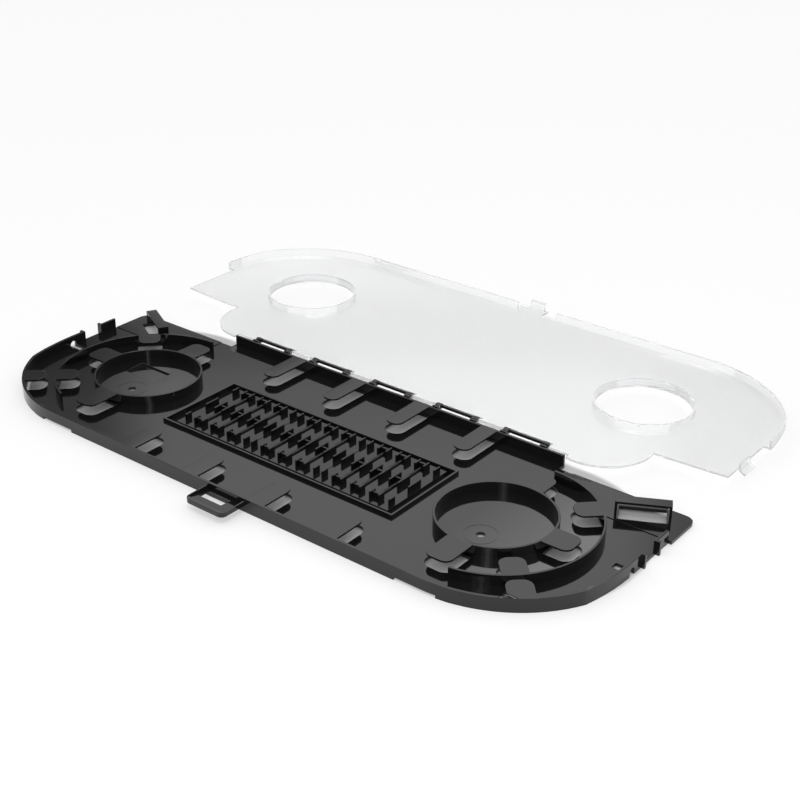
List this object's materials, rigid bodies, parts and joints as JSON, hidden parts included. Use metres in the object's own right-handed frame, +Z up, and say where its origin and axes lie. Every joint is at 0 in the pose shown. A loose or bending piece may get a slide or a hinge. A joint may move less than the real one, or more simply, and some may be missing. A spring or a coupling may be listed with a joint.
{
  "type": "fibre splice tray",
  "caption": "Flat fibre splice tray with fibre drums at both ends, arc guides with retaining tabs, clip-in splice combs and a clear hinged lid lying open.",
  "frame": {"origin": "on the underside of the comb well, midway between the two drum centres, in the plane the tray stands on", "axes": "+X along the tray through both drum centres, +Y towards the hinge and the open lid, +Z up"},
  "size_m": [0.3822, 0.2938, 0.0128],
  "materials": {
    "tray_plastic": "glossy moulded black",
    "comb_plastic": "satin moulded black",
    "lid_clear": "clear polished"
  },
  "bodies": {
    "tray": {"tray_base": "tray_plastic", "splice_left": "comb_plastic", "splice_middle": "comb_plastic", "splice_right": "comb_plastic"},
    "lid": {"lid": "lid_clear"}
  },
  "joints": [
    {"name": "lid_hinge", "type": "hinge", "parent": "tray", "child": "lid", "pos_m": [0, 0.0693, 0.0074], "axis": [1, 0, 0], "range_deg": [0, 180]}
  ]
}
